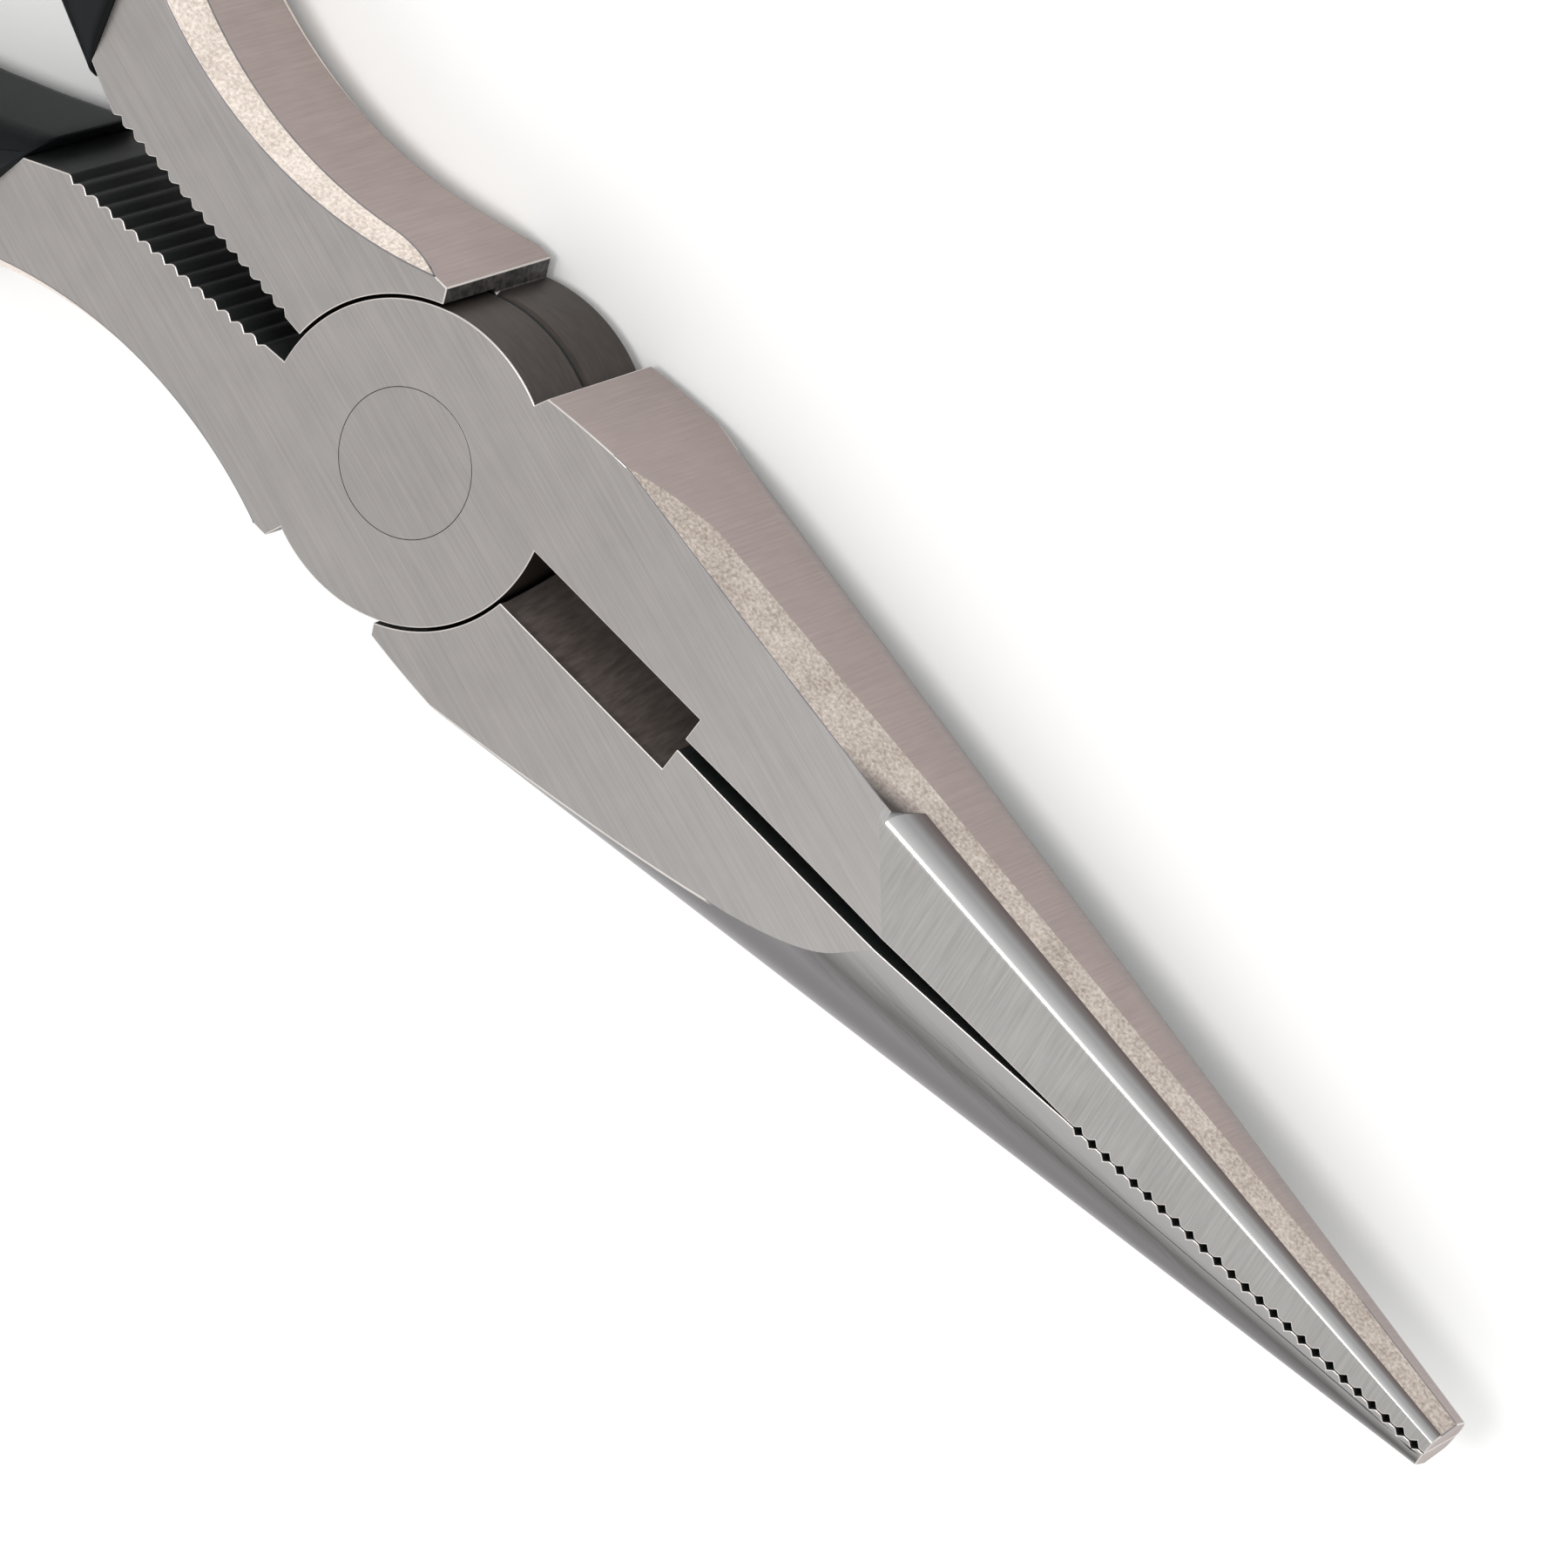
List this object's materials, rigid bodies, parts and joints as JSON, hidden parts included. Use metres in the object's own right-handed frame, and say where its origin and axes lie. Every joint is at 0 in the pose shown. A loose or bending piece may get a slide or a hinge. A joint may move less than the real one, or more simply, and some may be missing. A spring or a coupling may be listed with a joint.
{
  "type": "needle nose pliers",
  "caption": "Needle nose pliers with a lapped rivet joint, a side cutter, a toothed tapered nose and bowed handles in plastic sleeves.",
  "frame": {"origin": "on the rivet's axis, at the joint's back face", "axes": "+X from the rivet to the nose tip, +Y to the side of the front half's jaw, +Z out of the face that shows the front half's boss"},
  "size_m": [0.2036, 0.0484, 0.0134],
  "materials": {
    "ground_steel": "ground and brushed",
    "rivet_steel": "ground flush",
    "sleeve": "satin dipped vinyl"
  },
  "bodies": {
    "front": {"front_half": "ground_steel", "pivot_rivet": "rivet_steel", "front_grip": "sleeve"},
    "rear": {"rear_half": "ground_steel", "rear_grip": "sleeve"}
  },
  "joints": [
    {"name": "jaw_pivot", "type": "hinge", "parent": "front", "child": "rear", "pos_m": [0, 0, 0.0058], "axis": [0, 0, -1], "range_deg": [0, 45]}
  ]
}
